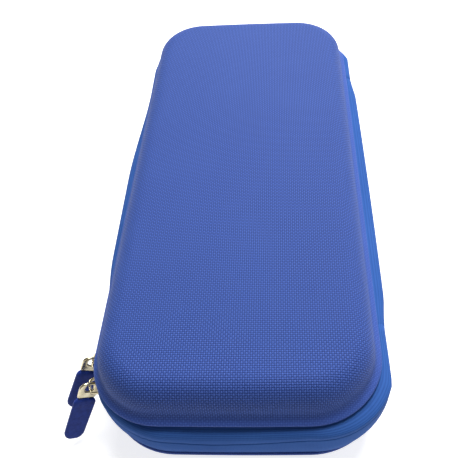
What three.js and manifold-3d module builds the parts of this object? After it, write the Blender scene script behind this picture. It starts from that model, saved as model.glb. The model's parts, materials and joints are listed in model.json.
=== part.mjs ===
// A hard-shell telescope carry case: two moulded shells joined by a zip band, with a die-cut foam cradle,
// two retaining straps, a padded lid with a mesh pocket, and two zip sliders with moulded pulls.
// Millimetres, +Z up, +Y towards the far short end, origin in the middle of the flat underside.
// The fabric hinge is on the +X long side and the sliders are on the -X long side.
import * as THREE from 'three';
import { mergeVertices } from 'three/addons/utils/BufferGeometryUtils.js';
import Module from 'manifold-3d';

const wasm = await Module();
wasm.setup();

// ---- driving dimensions ----------------------------------------------------------------------
// An offset is measured outwards from the plan outline of the lid's rim.
const HALF_WIDTH = 63;
const HALF_LENGTH = 143;
const CORNER_RADIUS = 31;
const SLIDER_CORNER_TUCK = 4.2;
const CORNER_STEPS = 8;
const GAP = 0.3;

const BASE_LIP_Z = 15.7;
const ZIP_Z = 30.4;
const RIM_Z = 39.2;
const LID_EDGE_Z = 56.2;
const CROWN_Z = 58.5;

const SHELL = 4;
const LINING = 0.6;
const BASE_EDGE_RADIUS = 9;
const BASE_EDGE_OFFSET = -10.3;
const BASE_INNER_WALL = -5.0;
const LID_EDGE_RADIUS = 13;
const LID_EDGE_OFFSET = -14.8;
const LID_EDGE_CENTRE_Z = LID_EDGE_Z - LID_EDGE_RADIUS;
const LID_INNER_WALL = -5.8;

const TAPE_OFFSET = 3.5;
const TAPE = 1.2;
const ZIP_HALF_GAP = 0.8;
const COIL_WIDTH = 1.5;
const COIL_DEPTH = 1.4;
const HINGE_HALF_LENGTH = 95;
const HINGE_HALF_GAP = 0.5;
const STOP_LENGTH = 3;

const CRADLE_BOTTOM = 8.3;
const CRADLE_TOP = 29;
const RECESS_X = -26;
const RECESS_OVERLAP = 8;
const RECESS_CORNER = 7;
const EYEPIECE_END_Y = -121;
const BARREL_START_Y = -68;
const OBJECTIVE_START_Y = 62;
const OBJECTIVE_END_Y = 121;
const EYEPIECE_HALF_WIDTH = 17;
const BARREL_HALF_WIDTH = 20;
const OBJECTIVE_HALF_WIDTH = 23;
const ACCESSORY_X = [10, 50];
const ACCESSORY_ENDS = [[-121, -8], [8, 121]];
const STRAP_WIDTH = 20;
const STRAP = 1.2;
const STRAP_STATIONS = [-40, 40];
const STRAP_LEFT_X = -51.5;
const STRAP_RIGHT_X = 2;
const STRAP_LEG_BOTTOM = 16.5;
const STRAP_RISE = 2.6;

const PAD_BOTTOM = 48;
const POCKET_HALF_WIDTH = 44;
const POCKET_HALF_LENGTH = 92;
const POCKET_BOTTOM = 41.4;
const POCKET_TOP = 47.7;
const MESH = 0.8;
const POCKET_FLANGE = 5;

const SLIDER_LENGTH = 10.4;
const SLIDER_HEIGHT = 8;
const SLIDER_PLATE = 0.8;
const SLIDER_CLEARANCE = 0.3;
const INNER_PLATE_LENGTH = 7;
const INNER_PLATE_CLEARANCE = 0.7;
const CROWN_THICKNESS = 0.9;
const CROWN_WIDTH = 1.8;
const CROWN_HALF_SPAN = 3.9;
const PIVOT_HEIGHT = 2.95;
const LINK_THICKNESS = 1.1;
const LINK_HOLE = 1.5;
const LINK_TOP_RADIUS = 2.7;
const LINK_LENGTH = 6.4;
const LINK_HALF_WIDTH = 4.1;
const TAB_HALF_WIDTH = 4.7;
const TAB_LENGTH = 24.4;
const TAB_THICKNESS = 2.6;
const TAB_CORNER = 3.4;
const PULL_LEAN = 30;
const PULL_TILT = 18;
const PULL_TWIST = 12;
const REAR_SLIDER_Y = -109.5;
const FRONT_SLIDER_ANGLE = 14;

// ---- materials -------------------------------------------------------------------------------
function finish(color, roughness, metalness = 0) {
  return new THREE.MeshStandardMaterial({ color, roughness, metalness });
}

const shellFabric = finish(0x4a64a8, 0.75);
const tapeFabric = finish(0x35509a, 0.8);
const coilNylon = finish(0x16224e, 0.5);
const liningVelour = finish(0x1b1d24, 0.95);
const foam = finish(0x24262b, 0.98);
const webbing = finish(0x15171c, 0.85);
const meshNet = finish(0x1c1f28, 0.8);
const nickel = finish(0xc9c3b2, 0.3, 1);
const pullRubber = finish(0x263270, 0.6);

// ---- geometry helpers ------------------------------------------------------------------------
function radians(degrees) {
  return (degrees * Math.PI) / 180;
}

// A station is a point on the inner rectangle that the outline is rounded about, and the way out from it.
function cornerStations(cx, cy, startDegrees) {
  const stations = [];
  for (let k = 0; k <= CORNER_STEPS; k += 1) {
    const a = radians(startDegrees + (90 * k) / CORNER_STEPS);
    stations.push({ x: cx, y: cy, nx: Math.cos(a), ny: Math.sin(a) });
  }
  return stations;
}

const CORE_X = HALF_WIDTH - CORNER_RADIUS;
const CORE_Y = HALF_LENGTH - CORNER_RADIUS;
const SLIDER_CORE_X = CORE_X - SLIDER_CORNER_TUCK;
const SLIDER_SIDE_SLANT = Math.atan2(SLIDER_CORNER_TUCK, 2 * CORE_Y);

function outline(sliderCoreX) {
  return [
    ...cornerStations(CORE_X, CORE_Y, 0),
    ...cornerStations(-CORE_X, CORE_Y, 90),
    ...cornerStations(-sliderCoreX, -CORE_Y, 180),
    ...cornerStations(CORE_X, -CORE_Y, 270),
  ];
}

// The zip band and the base are tucked in under the lid's rim towards the corner where the sliders park.
const lidRound = outline(CORE_X);
const baseRound = outline(SLIDER_CORE_X);

function rightSide(y) {
  return { x: CORE_X, y, nx: 1, ny: 0 };
}

const zipPath = [rightSide(HINGE_HALF_LENGTH), ...baseRound, rightSide(-HINGE_HALF_LENGTH)];
const hingePath = [rightSide(-HINGE_HALF_LENGTH + GAP), rightSide(HINGE_HALF_LENGTH - GAP)];

function placed(station, [offset, z]) {
  const reach = CORNER_RADIUS + offset;
  return [station.x + station.nx * reach, station.y + station.ny * reach, z];
}

function closedBody(points, triangles) {
  let volume = 0;
  for (const [a, b, c] of triangles) {
    const p = new THREE.Vector3(...points[a]);
    const q = new THREE.Vector3(...points[b]);
    const r = new THREE.Vector3(...points[c]);
    volume += p.dot(q.cross(r));
  }
  const facing = volume > 0 ? triangles : triangles.map(([a, b, c]) => [a, c, b]);
  const geometry = new THREE.BufferGeometry();
  geometry.setAttribute('position', new THREE.Float32BufferAttribute(points.flat(), 3));
  geometry.setIndex(facing.flat());
  return geometry;
}

// Triangles between two rings of points, each of them closed on itself.
function stitch(count, a, b) {
  const triangles = [];
  for (let k = 0; k < count; k += 1) {
    const next = (k + 1) % count;
    triangles.push([a + k, a + next, b + next], [a + k, b + next, b + k]);
  }
  return triangles;
}

// Rings of one outline, from the first offset and height to the last, with a flat face across each end.
function loft(profile, round = baseRound) {
  const count = round.length;
  const points = profile.flatMap((level) => round.map((station) => placed(station, level)));
  const triangles = [];
  for (let k = 0; k + 1 < profile.length; k += 1) {
    triangles.push(...stitch(count, k * count, (k + 1) * count));
  }
  const last = (profile.length - 1) * count;
  for (const start of [0, last]) {
    const flat = points.slice(start, start + count).map(([x, y]) => new THREE.Vector2(x, y));
    for (const [a, b, c] of THREE.ShapeUtils.triangulateShape(flat, [])) {
      triangles.push(start === 0 ? [start + a, start + c, start + b] : [start + a, start + b, start + c]);
    }
  }
  return closedBody(points, triangles);
}

// A closed section of offsets and heights, carried along a path of stations.
function sweep(section, path, closed) {
  const count = section.length;
  const points = path.flatMap((station) => section.map((corner) => placed(station, corner)));
  const triangles = [];
  for (let k = 0; k + 1 < path.length; k += 1) {
    triangles.push(...stitch(count, k * count, (k + 1) * count));
  }
  const last = (path.length - 1) * count;
  if (closed) {
    triangles.push(...stitch(count, last, 0));
  } else {
    const flat = section.map(([offset, z]) => new THREE.Vector2(offset, z));
    const anticlockwise = THREE.ShapeUtils.area(flat) > 0;
    for (const [a, b, c] of THREE.ShapeUtils.triangulateShape(flat, [])) {
      const [p, q] = anticlockwise ? [b, c] : [c, b];
      triangles.push([a, q, p], [last + a, last + p, last + q]);
    }
  }
  return closedBody(points, triangles);
}

function arc(offset, z, radius, fromDegrees, toDegrees, steps) {
  const levels = [];
  for (let k = 0; k <= steps; k += 1) {
    const a = radians(fromDegrees + ((toDegrees - fromDegrees) * k) / steps);
    levels.push([offset + radius * Math.cos(a), z + radius * Math.sin(a)]);
  }
  return levels;
}

function solid(geometry) {
  const bare = geometry.clone();
  bare.deleteAttribute('normal');
  bare.deleteAttribute('uv');
  const merged = mergeVertices(bare, 1e-4);
  return new wasm.Manifold(
    new wasm.Mesh({
      numProp: 3,
      vertProperties: new Float32Array(merged.attributes.position.array),
      triVerts: new Uint32Array(merged.index.array),
    }),
  );
}

function fromSolid(manifold) {
  const mesh = manifold.getMesh();
  const geometry = new THREE.BufferGeometry();
  geometry.setAttribute('position', new THREE.BufferAttribute(mesh.vertProperties, 3));
  geometry.setIndex(new THREE.BufferAttribute(mesh.triVerts, 1));
  return geometry;
}

function block([x0, x1], [y0, y1], [z0, z1]) {
  const geometry = new THREE.BoxGeometry(x1 - x0, y1 - y0, z1 - z0);
  return geometry.translate((x0 + x1) / 2, (y0 + y1) / 2, (z0 + z1) / 2);
}

function roundedRectangle(x0, x1, y0, y1, radius) {
  const shape = new THREE.Shape();
  shape.absarc(x1 - radius, y1 - radius, radius, 0, Math.PI / 2);
  shape.absarc(x0 + radius, y1 - radius, radius, Math.PI / 2, Math.PI);
  shape.absarc(x0 + radius, y0 + radius, radius, Math.PI, 1.5 * Math.PI);
  shape.absarc(x1 - radius, y0 + radius, radius, 1.5 * Math.PI, 2 * Math.PI);
  return shape;
}

function prism(shape, z0, z1, curveSegments = 5) {
  const geometry = new THREE.ExtrudeGeometry(shape, { depth: z1 - z0, bevelEnabled: false, curveSegments });
  return geometry.translate(0, 0, z0);
}

function named(name, geometry, material) {
  const mesh = new THREE.Mesh(geometry, material);
  mesh.name = name;
  return mesh;
}

// ---- the two moulded shells and their linings ------------------------------------------------
function baseShell() {
  return loft([
    ...arc(BASE_EDGE_OFFSET, BASE_EDGE_RADIUS, BASE_EDGE_RADIUS, -90, 0, 4),
    [-1.0, BASE_LIP_Z - 4.7],
    [-0.2, BASE_LIP_Z - 3.4],
    [1.7, BASE_LIP_Z - 2.5],
    [2.1, BASE_LIP_Z - 1.3],
    [1.8, BASE_LIP_Z],
    [BASE_INNER_WALL, BASE_LIP_Z],
    ...arc(BASE_EDGE_OFFSET, BASE_EDGE_RADIUS, BASE_EDGE_RADIUS - SHELL, 0, -90, 4),
  ]);
}

function baseLining() {
  const outside = BASE_EDGE_RADIUS - SHELL - GAP;
  const inside = outside - LINING;
  return loft([
    ...arc(BASE_EDGE_OFFSET, BASE_EDGE_RADIUS, outside, -90, 0, 4),
    [BASE_INNER_WALL - GAP, BASE_LIP_Z],
    [BASE_INNER_WALL - GAP - LINING, BASE_LIP_Z],
    ...arc(BASE_EDGE_OFFSET, BASE_EDGE_RADIUS, inside, 0, -90, 4),
  ]);
}

function lidShell() {
  return loft([
    [-30, CROWN_Z],
    [-22, CROWN_Z - 0.8],
    ...arc(LID_EDGE_OFFSET, LID_EDGE_CENTRE_Z, LID_EDGE_RADIUS, 90, 0, 5),
    [-0.9, 42.1],
    [0.3, 41.3],
    [0.5, 40.3],
    [0, RIM_Z],
    [LID_INNER_WALL, RIM_Z],
    ...arc(LID_EDGE_OFFSET, LID_EDGE_CENTRE_Z, LID_EDGE_RADIUS - SHELL, 0, 90, 5),
    [-22, CROWN_Z - SHELL - 0.8],
    [-30, CROWN_Z - SHELL],
  ], lidRound);
}

function lidLining() {
  const outside = LID_EDGE_RADIUS - SHELL - GAP;
  const inside = outside - LINING;
  const top = CROWN_Z - SHELL - GAP;
  return loft([
    [-30, top],
    [-22, top - 0.8],
    ...arc(LID_EDGE_OFFSET, LID_EDGE_CENTRE_Z, outside, 90, 0, 5),
    [LID_INNER_WALL - GAP, RIM_Z],
    [LID_INNER_WALL - GAP - LINING, RIM_Z],
    ...arc(LID_EDGE_OFFSET, LID_EDGE_CENTRE_Z, inside, 0, 90, 5),
    [-22, top - LINING - 0.8],
    [-30, top - LINING],
  ], lidRound);
}

// ---- the zip band: tapes, coils, stops, fabric hinge and edge bindings -----------------------
function lowerBand(top) {
  return [
    [1.7, BASE_LIP_Z + GAP],
    [3.0, BASE_LIP_Z + 4.5],
    [TAPE_OFFSET, BASE_LIP_Z + 9],
    [TAPE_OFFSET, top],
    [TAPE_OFFSET - TAPE, top],
    [TAPE_OFFSET - TAPE, BASE_LIP_Z + 9],
    [1.8, BASE_LIP_Z + 4.7],
    [0.5, BASE_LIP_Z + GAP],
  ];
}

function upperBand(bottom) {
  return [
    [TAPE_OFFSET, bottom],
    [TAPE_OFFSET - 0.1, 33.5],
    [2.4, 36.5],
    [0, RIM_Z - GAP],
    [-1.2, RIM_Z - GAP],
    [1.2, 36.3],
    [2.2, 33.5],
    [TAPE_OFFSET - TAPE, bottom],
  ];
}

const COIL_OUTSIDE = TAPE_OFFSET - TAPE - GAP;
const COIL_INSIDE = COIL_OUTSIDE - COIL_DEPTH;

function coilSection(z0, z1) {
  const middle = (z0 + z1) / 2;
  return [
    [COIL_INSIDE, middle - 0.4],
    [COIL_INSIDE + 0.4, z0],
    [COIL_OUTSIDE, z0],
    [COIL_OUTSIDE, z1],
    [COIL_INSIDE + 0.4, z1],
    [COIL_INSIDE, middle + 0.4],
  ];
}

const LOWER_COIL = [ZIP_Z - ZIP_HALF_GAP - COIL_WIDTH, ZIP_Z - ZIP_HALF_GAP];
const UPPER_COIL = [ZIP_Z + ZIP_HALF_GAP, ZIP_Z + ZIP_HALF_GAP + COIL_WIDTH];

// A stop closes the end of a coil, where the zip meets the fabric hinge.
function zipStop([z0, z1], end) {
  const near = HINGE_HALF_LENGTH - GAP;
  const far = near - STOP_LENGTH;
  const ys = end < 0 ? [-near, -far] : [far, near];
  return block([HALF_WIDTH + COIL_INSIDE, HALF_WIDTH + COIL_OUTSIDE], ys, [z0, z1]);
}

const BASE_BINDING = [
  [0.1, BASE_LIP_Z + GAP],
  [1.2, BASE_LIP_Z + 3.7],
  [1.5, BASE_LIP_Z + 6.1],
  [0.6, BASE_LIP_Z + 6.1],
  [0.3, BASE_LIP_Z + 4.0],
  [-0.9, BASE_LIP_Z + 1.4],
  [-4.6, BASE_LIP_Z + 1.4],
  [-4.6, BASE_LIP_Z + GAP],
];

const LID_BINDING = [
  [-1.6, RIM_Z - GAP],
  [-5.2, RIM_Z - GAP],
  [-5.2, RIM_Z - GAP - 1],
  [-2.1, RIM_Z - GAP - 1],
  [0, 35.6],
  [0.5, 34.8],
  [1.3, 34.8],
  [0.8, 36.1],
];

// ---- what the case holds the telescope with --------------------------------------------------
function recess(x0, x1, y0, y1, radius) {
  return solid(prism(roundedRectangle(x0, x1, y0, y1, radius), CRADLE_BOTTOM - 1, CRADLE_TOP + 1));
}

// The die-cut outline of a small refractor: eyepiece end, barrel and objective end, each a little wider.
function telescopeRecess() {
  const stages = [
    [EYEPIECE_HALF_WIDTH, EYEPIECE_END_Y, BARREL_START_Y + RECESS_OVERLAP],
    [BARREL_HALF_WIDTH, BARREL_START_Y - RECESS_OVERLAP, OBJECTIVE_START_Y + RECESS_OVERLAP],
    [OBJECTIVE_HALF_WIDTH, OBJECTIVE_START_Y - RECESS_OVERLAP, OBJECTIVE_END_Y],
  ];
  return stages.map(([half, y0, y1]) => recess(RECESS_X - half, RECESS_X + half, y0, y1, RECESS_CORNER));
}

function accessoryRecesses() {
  return ACCESSORY_ENDS.map(([y0, y1]) => recess(...ACCESSORY_X, y0, y1, RECESS_CORNER));
}

function strapSlits() {
  const half = STRAP / 2 + GAP;
  const slits = [];
  for (const y of STRAP_STATIONS) {
    for (const x of [STRAP_LEFT_X, STRAP_RIGHT_X]) {
      const ys = [y - STRAP_WIDTH / 2 - GAP, y + STRAP_WIDTH / 2 + GAP];
      slits.push(solid(block([x - half, x + half], ys, [STRAP_LEG_BOTTOM - GAP, CRADLE_TOP + 1])));
    }
  }
  return slits;
}

function foamCradle() {
  let cradle = solid(loft([[-6.9, CRADLE_BOTTOM], [-6.6, 10], [-6.6, CRADLE_TOP]]));
  for (const cut of [...telescopeRecess(), ...accessoryRecesses(), ...strapSlits()]) {
    cradle = cradle.subtract(cut);
  }
  return fromSolid(cradle);
}

function floorPad() {
  return loft([[-10.4, 5.2], [-7.4, 8.0]]);
}

// An elastic strap: two legs down into slits in the foam, and a low arch over the barrel.
function strap(y) {
  const outside = [];
  const inside = [];
  const steps = 12;
  for (let k = 0; k <= steps; k += 1) {
    const t = k / steps;
    const x = STRAP_LEFT_X + (STRAP_RIGHT_X - STRAP_LEFT_X) * t;
    const rise = STRAP_RISE * Math.sin(Math.PI * t);
    const side = k === 0 ? -STRAP / 2 : k === steps ? STRAP / 2 : 0;
    outside.push(new THREE.Vector2(x + side, CRADLE_TOP + GAP + STRAP + rise));
    inside.push(new THREE.Vector2(x - side, CRADLE_TOP + GAP + rise));
  }
  const shape = new THREE.Shape([
    new THREE.Vector2(STRAP_LEFT_X - STRAP / 2, STRAP_LEG_BOTTOM),
    ...outside,
    new THREE.Vector2(STRAP_RIGHT_X + STRAP / 2, STRAP_LEG_BOTTOM),
    new THREE.Vector2(STRAP_RIGHT_X - STRAP / 2, STRAP_LEG_BOTTOM),
    ...inside.reverse(),
    new THREE.Vector2(STRAP_LEFT_X + STRAP / 2, STRAP_LEG_BOTTOM),
  ]);
  return prism(shape, -STRAP_WIDTH / 2, STRAP_WIDTH / 2).rotateX(Math.PI / 2).translate(0, y, 0);
}

// ---- the lid's padding and mesh pocket -------------------------------------------------------
function lidPad() {
  return loft([
    [-9.8, PAD_BOTTOM],
    ...arc(LID_EDGE_OFFSET, LID_EDGE_CENTRE_Z, 7.5, 45, 90, 3),
    [-22, 51.6],
    [-30, 52.6],
  ], lidRound);
}

function pocketBlock(inset, z0, z1, mouth) {
  const x = POCKET_HALF_WIDTH - inset;
  return solid(block([-x, x], [-POCKET_HALF_LENGTH + inset, POCKET_HALF_LENGTH + mouth], [z0, z1]));
}

// A shallow tray of net, open at the +Y end, with a flat flange where it is sewn to the pad.
function meshPocket() {
  const tray = pocketBlock(POCKET_FLANGE, POCKET_BOTTOM, POCKET_TOP, 0);
  const flange = pocketBlock(0, POCKET_TOP - MESH, POCKET_TOP, 0);
  const inside = pocketBlock(POCKET_FLANGE + MESH, POCKET_BOTTOM + MESH, POCKET_TOP + 1, 1);
  return fromSolid(tray.add(flange).subtract(inside));
}

function pocketBorder() {
  const top = POCKET_TOP - MESH - GAP;
  const band = pocketBlock(0, top - MESH, top, 0);
  return fromSolid(band.subtract(pocketBlock(POCKET_FLANGE - GAP, top - 2, top + 1, 1)));
}

function pocketElastic() {
  const x = POCKET_HALF_WIDTH - POCKET_FLANGE;
  const y = POCKET_HALF_LENGTH + GAP;
  return block([-x, x], [y, y + 6], [POCKET_BOTTOM - 0.6, POCKET_BOTTOM + MESH + 0.6]);
}

// ---- a zip slider ----------------------------------------------------------------------------
// Local axes: +X out of the case, +Y along the zip towards the front, origin on the tape's outer face.
const SLIDER_FACE = SLIDER_CLEARANCE + SLIDER_PLATE;
const PIVOT_X = SLIDER_FACE + PIVOT_HEIGHT;

function plateShape(length, height) {
  const end = length / 2;
  const side = height / 2;
  const shape = new THREE.Shape();
  shape.moveTo(-end, -side * 0.62);
  shape.quadraticCurveTo(-end, -side, -end * 0.55, -side);
  shape.lineTo(end * 0.6, -side * 0.86);
  shape.quadraticCurveTo(end, -side * 0.8, end, -side * 0.45);
  shape.lineTo(end, side * 0.45);
  shape.quadraticCurveTo(end, side * 0.8, end * 0.6, side * 0.86);
  shape.lineTo(-end * 0.55, side);
  shape.quadraticCurveTo(-end, side, -end, side * 0.62);
  return shape;
}

// The shape's own X runs along the zip and its Y runs up; the plate's thickness is along +X.
function standing(shape, x0, x1) {
  const upright = new THREE.Matrix4().makeBasis(
    new THREE.Vector3(0, 1, 0),
    new THREE.Vector3(0, 0, 1),
    new THREE.Vector3(1, 0, 0),
  );
  return prism(shape, x0, x1, 3).applyMatrix4(upright);
}

function sliderBody() {
  const innerFace = COIL_INSIDE - TAPE_OFFSET - INNER_PLATE_CLEARANCE;
  const outer = standing(plateShape(SLIDER_LENGTH, SLIDER_HEIGHT), SLIDER_CLEARANCE, SLIDER_FACE);
  const inner = standing(plateShape(INNER_PLATE_LENGTH, SLIDER_HEIGHT), innerFace - SLIDER_PLATE, innerFace);
  const post = block([innerFace - 0.2, SLIDER_CLEARANCE + 0.2], [-1.6, 1.6], [-0.45, 0.45]);
  return fromSolid(solid(outer).add(solid(inner)).add(solid(post)));
}

// The crown is the strip that arches over the outer plate and holds the pull.
function sliderCrown() {
  const foot = SLIDER_FACE + 0.05;
  const top = PIVOT_X + CROWN_THICKNESS / 2;
  const shape = new THREE.Shape();
  const span = CROWN_HALF_SPAN;
  const inner = span - CROWN_THICKNESS;
  shape.moveTo(foot, -span);
  shape.lineTo(top - 1.6, -span);
  shape.quadraticCurveTo(top, -span, top, -span + 1.9);
  shape.lineTo(top, span - 1.9);
  shape.quadraticCurveTo(top, span, top - 1.6, span);
  shape.lineTo(foot, span);
  shape.lineTo(foot, inner);
  shape.lineTo(top - 1.9, inner);
  shape.quadraticCurveTo(top - CROWN_THICKNESS, inner, top - CROWN_THICKNESS, inner - 1.1);
  shape.lineTo(top - CROWN_THICKNESS, -inner + 1.1);
  shape.quadraticCurveTo(top - CROWN_THICKNESS, -inner, top - 1.9, -inner);
  shape.lineTo(foot, -inner);
  return prism(shape, -CROWN_WIDTH / 2, CROWN_WIDTH / 2, 3);
}

// The pull hangs along -Z from the pivot, with its width along X and its thickness along Y.
function hanging(shape, thickness) {
  return prism(shape, -thickness / 2, thickness / 2, 6).rotateX(Math.PI / 2);
}

function pullLink() {
  const shape = new THREE.Shape();
  shape.absarc(0, 0, LINK_TOP_RADIUS, 0, Math.PI);
  shape.quadraticCurveTo(-LINK_TOP_RADIUS, -3, -LINK_HALF_WIDTH, -4.6);
  shape.lineTo(-LINK_HALF_WIDTH, -LINK_LENGTH);
  shape.lineTo(LINK_HALF_WIDTH, -LINK_LENGTH);
  shape.lineTo(LINK_HALF_WIDTH, -4.6);
  shape.quadraticCurveTo(LINK_TOP_RADIUS, -3, LINK_TOP_RADIUS, 0);
  const hole = new THREE.Path();
  hole.absarc(0, 0, LINK_HOLE, 0, 2 * Math.PI, true);
  shape.holes.push(hole);
  return hanging(shape, LINK_THICKNESS);
}

function pullTab() {
  const top = -LINK_LENGTH - GAP;
  const shape = roundedRectangle(-TAB_HALF_WIDTH, TAB_HALF_WIDTH, top - TAB_LENGTH, top, TAB_CORNER);
  return hanging(shape, TAB_THICKNESS);
}

function sliderWithPull(prefix) {
  const slider = new THREE.Group();
  const hang = new THREE.Group();
  hang.position.set(PIVOT_X, 0, 0);
  hang.rotation.set(0, -radians(PULL_LEAN), 0);
  const tilt = new THREE.Group();
  tilt.rotation.set(radians(PULL_TILT), 0, 0);
  const twist = new THREE.Group();
  twist.rotation.set(0, 0, radians(PULL_TWIST));
  twist.add(named(`${prefix}_pull_link`, pullLink(), nickel));
  twist.add(named(`${prefix}_pull_tab`, pullTab(), pullRubber));
  tilt.add(twist);
  hang.add(tilt);
  slider.add(named(`${prefix}_slider_body`, sliderBody(), nickel));
  slider.add(named(`${prefix}_slider_crown`, sliderCrown(), nickel));
  slider.add(hang);
  return slider;
}

// ---- assembly --------------------------------------------------------------------------------
const base = new THREE.Group();
base.add(named('base_shell', baseShell(), shellFabric));
base.add(named('base_lining', baseLining(), liningVelour));
base.add(named('base_edge_binding', sweep(BASE_BINDING, baseRound, true), webbing));
base.add(named('zip_tape_lower', sweep(lowerBand(LOWER_COIL[1]), zipPath, false), tapeFabric));
base.add(named('zip_coil_lower', sweep(coilSection(...LOWER_COIL), zipPath, false), coilNylon));
base.add(named('zip_stop_lower_front', zipStop(LOWER_COIL, -1), coilNylon));
base.add(named('zip_stop_lower_rear', zipStop(LOWER_COIL, 1), coilNylon));
base.add(named('hinge_strip_lower', sweep(lowerBand(ZIP_Z - HINGE_HALF_GAP), hingePath, false), tapeFabric));
base.add(named('cradle_floor_pad', floorPad(), foam));
base.add(named('foam_cradle', foamCradle(), foam));
base.add(named('strap_front', strap(STRAP_STATIONS[0]), webbing));
base.add(named('strap_rear', strap(STRAP_STATIONS[1]), webbing));

const lid = new THREE.Group();
lid.add(named('lid_shell', lidShell(), shellFabric));
lid.add(named('lid_lining', lidLining(), liningVelour));
lid.add(named('lid_edge_binding', sweep(LID_BINDING, baseRound, true), webbing));
lid.add(named('zip_tape_upper', sweep(upperBand(UPPER_COIL[0]), zipPath, false), tapeFabric));
lid.add(named('zip_coil_upper', sweep(coilSection(...UPPER_COIL), zipPath, false), coilNylon));
lid.add(named('zip_stop_upper_front', zipStop(UPPER_COIL, -1), coilNylon));
lid.add(named('zip_stop_upper_rear', zipStop(UPPER_COIL, 1), coilNylon));
lid.add(named('hinge_strip_upper', sweep(upperBand(ZIP_Z + HINGE_HALF_GAP), hingePath, false), tapeFabric));
lid.add(named('lid_foam_pad', lidPad(), foam));
lid.add(named('mesh_pocket', meshPocket(), meshNet));
lid.add(named('mesh_pocket_border', pocketBorder(), webbing));
lid.add(named('mesh_pocket_elastic', pocketElastic(), webbing));

const rearSlider = sliderWithPull('rear');
const rearTuck = (CORE_Y - REAR_SLIDER_Y) * Math.tan(SLIDER_SIDE_SLANT);
rearSlider.position.set(-HALF_WIDTH - TAPE_OFFSET + rearTuck, REAR_SLIDER_Y, ZIP_Z);
rearSlider.rotation.z = Math.PI + SLIDER_SIDE_SLANT;

const frontSlider = sliderWithPull('front');
const cornerReach = CORNER_RADIUS + TAPE_OFFSET;
frontSlider.position.set(
  -SLIDER_CORE_X - cornerReach * Math.cos(radians(FRONT_SLIDER_ANGLE)),
  -CORE_Y - cornerReach * Math.sin(radians(FRONT_SLIDER_ANGLE)),
  ZIP_Z,
);
frontSlider.rotation.z = Math.PI + radians(FRONT_SLIDER_ANGLE);

const carryCase = new THREE.Group();
carryCase.add(base, lid, rearSlider, frontSlider);

export default carryCase;
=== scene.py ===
"""A moulded zip case for a telescope: blue woven shells, a zip band, nickel sliders with rubber pulls,
and a foam cradle, straps and a mesh pocket inside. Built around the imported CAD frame, in metres."""
import json
import math

import bmesh
import bpy
import numpy as np
from mathutils import Matrix, Vector


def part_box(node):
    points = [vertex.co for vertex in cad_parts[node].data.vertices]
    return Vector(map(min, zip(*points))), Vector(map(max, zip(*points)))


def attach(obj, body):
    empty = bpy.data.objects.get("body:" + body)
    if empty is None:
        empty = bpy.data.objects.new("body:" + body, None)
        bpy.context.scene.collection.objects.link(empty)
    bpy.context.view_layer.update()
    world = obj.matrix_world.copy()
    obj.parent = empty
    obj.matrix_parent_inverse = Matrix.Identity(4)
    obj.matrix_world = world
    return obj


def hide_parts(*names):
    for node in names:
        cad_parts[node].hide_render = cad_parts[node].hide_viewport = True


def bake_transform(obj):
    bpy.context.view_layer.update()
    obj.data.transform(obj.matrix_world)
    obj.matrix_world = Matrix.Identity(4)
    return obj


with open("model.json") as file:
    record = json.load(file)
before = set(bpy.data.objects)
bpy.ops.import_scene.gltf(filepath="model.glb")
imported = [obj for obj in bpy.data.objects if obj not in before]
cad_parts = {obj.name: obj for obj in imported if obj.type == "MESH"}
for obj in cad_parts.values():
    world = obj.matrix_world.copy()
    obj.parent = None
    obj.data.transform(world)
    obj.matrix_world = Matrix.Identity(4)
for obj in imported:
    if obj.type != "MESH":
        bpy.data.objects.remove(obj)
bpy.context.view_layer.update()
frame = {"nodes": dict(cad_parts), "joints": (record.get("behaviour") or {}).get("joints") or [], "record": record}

MM = 0.001

# ---- driving sizes, in millimetres, from the frame ------------------------------------------------
RIM_LIP = 0.5


def corner_mm(node, high):
    """The high or the low corner of a CAD node's box."""
    return [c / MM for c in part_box(node)[1 if high else 0]]


HALF_WIDTH = corner_mm("lid_shell", True)[0] - RIM_LIP
HALF_LENGTH = corner_mm("lid_shell", True)[1] - RIM_LIP
RIM_Z = corner_mm("lid_shell", False)[2]
CROWN_Z = corner_mm("lid_shell", True)[2]
LIP_Z = corner_mm("base_shell", True)[2]
ZIP_Z = (corner_mm("zip_tape_lower", True)[2] + corner_mm("zip_tape_upper", False)[2]) / 2
TAPE_OFFSET = corner_mm("zip_tape_upper", True)[0] - HALF_WIDTH
HINGE_END = corner_mm("hinge_strip_lower", True)[1]
CORNER_RADIUS = 31
SLIDER_CORNER_TUCK = 4.2
CORE_X = HALF_WIDTH - CORNER_RADIUS
CORE_Y = HALF_LENGTH - CORNER_RADIUS
INNER_RING = -CORNER_RADIUS + 1

# How the soft case departs from its drawing. Both short ends bow out, and the far one is askew.
END_BOW = 1.1
SKEW, SKEW_FROM, SKEW_FADE = 1.8, 60, 80
# The zip band stands out down the hinge. Towards both ends it draws back to within HINGE_ROOM of the
# hinge's axis, or the two tapes would cross when the lid opens.
HINGE_BULGE = 2.6
HINGE_CORNER_BULGE = 2.2
HINGE_BULGE_END, HINGE_BULGE_FADE = 98, 32
HINGE_ROOM = 0.5
# It is slack down the slider side, between two places along it, and dips and lifts round the near end.
SIDE_BULGE = 4.9
SIDE_SAG = 2.2
SLACK_START, SLACK_IN = -103, 55
SLACK_END, SLACK_OUT = 90, 80
SLIDER_CORNER_BULGE = 1.5
ZIP_DIP, ZIP_LIFT, ZIP_WAVE_FADE = -1.9, 3.2, 40

CORNER_STEPS = 18
SIDE_STEP = 6


# ---- outline --------------------------------------------------------------------------------------
class Station:
    """A point of the inner rectangle that the outline is rounded about, and the way out from it."""

    def __init__(self, x, y, degrees):
        angle = math.radians(degrees)
        self.x, self.y = x, y
        self.nx, self.ny = math.cos(angle), math.sin(angle)


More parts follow.
